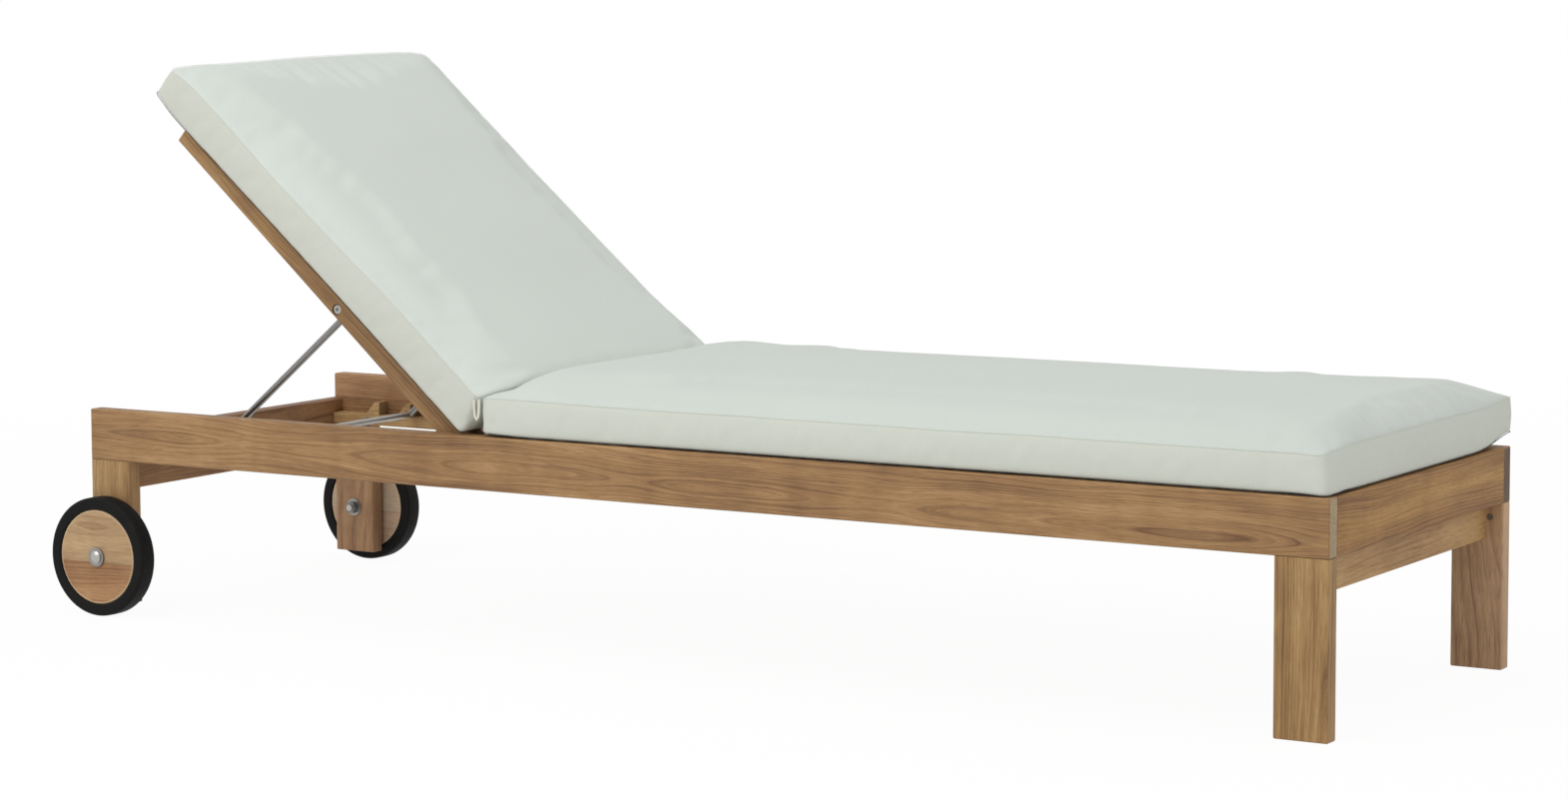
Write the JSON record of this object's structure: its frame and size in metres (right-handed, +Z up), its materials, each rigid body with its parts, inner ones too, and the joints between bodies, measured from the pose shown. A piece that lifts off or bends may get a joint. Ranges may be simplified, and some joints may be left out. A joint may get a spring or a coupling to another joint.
{
  "type": "chaise lounger",
  "caption": "Teak chaise lounger with a reclining slatted back on a prop bail and toothed racks, wheels at the head end, and boxed seat and back cushions.",
  "frame": {"origin": "on the floor, under the middle of the bounding box at rest", "axes": "+X runs to the foot end, +Y to the left of a person lying on it, +Z up"},
  "size_m": [2.052, 0.6996, 0.8313],
  "materials": {
    "teak_frame": "oiled teak, satin",
    "teak_slat": "oiled teak, satin",
    "teak_disc": "oiled teak, satin",
    "stainless_steel": "brushed",
    "bush_nylon": "matte",
    "tyre_rubber": "matte rubber",
    "cushion_fabric": "woven outdoor canvas"
  },
  "bodies": {
    "frame": {"axle_bolts": "stainless_steel", "axle_nuts": "stainless_steel", "axle_washers": "stainless_steel", "back_ledger_left": "teak_frame", "back_ledger_right": "teak_frame", "foot_end_rail": "teak_frame", "foot_leg_left": "teak_frame", "foot_leg_right": "teak_frame", "foot_stretcher": "teak_frame", "head_cross_board": "teak_frame", "head_leg_left": "teak_frame", "head_leg_right": "teak_frame", "hinge_bolts": "stainless_steel", "hinge_washers": "stainless_steel", "leg_barrel_nuts": "stainless_steel", "leg_studs": "stainless_steel", "rack_left": "teak_frame", "rack_right": "teak_frame", "seat_cushion": "cushion_fabric", "seat_ledger_left": "teak_frame", "seat_ledger_right": "teak_frame", "seat_slat_01": "teak_slat", "seat_slat_02": "teak_slat", "seat_slat_03": "teak_slat", "seat_slat_04": "teak_slat", "seat_slat_05": "teak_slat", "seat_slat_06": "teak_slat", "seat_slat_07": "teak_slat", "seat_slat_08": "teak_slat", "seat_slat_09": "teak_slat", "seat_slat_10": "teak_slat", "seat_slat_11": "teak_slat", "seat_slat_12": "teak_slat", "side_rail_left": "teak_frame", "side_rail_right": "teak_frame"},
    "backrest": {"back_bottom_rail": "teak_frame", "back_cushion": "cushion_fabric", "back_slat_1": "teak_slat", "back_slat_2": "teak_slat", "back_slat_3": "teak_slat", "back_slat_4": "teak_slat", "back_slat_5": "teak_slat", "back_slat_6": "teak_slat", "back_slat_7": "teak_slat", "back_stile_left": "teak_frame", "back_stile_right": "teak_frame", "back_top_rail": "teak_frame", "hinge_bushes": "bush_nylon", "prop_bolts": "stainless_steel", "prop_nuts": "stainless_steel"},
    "prop_bail": {"prop_arm_left": "stainless_steel", "prop_arm_right": "stainless_steel", "prop_crossbar": "stainless_steel"},
    "wheel_left": {"hub_bush_left": "bush_nylon", "tyre_left": "tyre_rubber", "wheel_disc_left": "teak_disc"},
    "wheel_right": {"hub_bush_right": "bush_nylon", "tyre_right": "tyre_rubber", "wheel_disc_right": "teak_disc"}
  },
  "joints": [
    {"name": "backrest_recline", "type": "hinge", "parent": "frame", "child": "backrest", "pos_m": [-0.304, 0, 0.287], "axis": [0, 1, 0], "range_deg": [-41, 17]},
    {"name": "prop_swing", "type": "hinge", "parent": "backrest", "child": "prop_bail", "pos_m": [-0.52812, 0, 0.47122], "axis": [0, 1, 0], "range_deg": [-32, 77]},
    {"name": "wheel_spin_left", "type": "hinge", "parent": "frame", "child": "wheel_left", "pos_m": [-0.937, 0.3275, 0.089], "axis": [0, 1, 0], "continuous": true},
    {"name": "wheel_spin_right", "type": "hinge", "parent": "frame", "child": "wheel_right", "pos_m": [-0.937, -0.3275, 0.089], "axis": [0, 1, 0], "continuous": true}
  ],
  "couplings": [
    {"joint": "prop_swing", "follows": "backrest_recline", "ratio": -1.855}
  ]
}
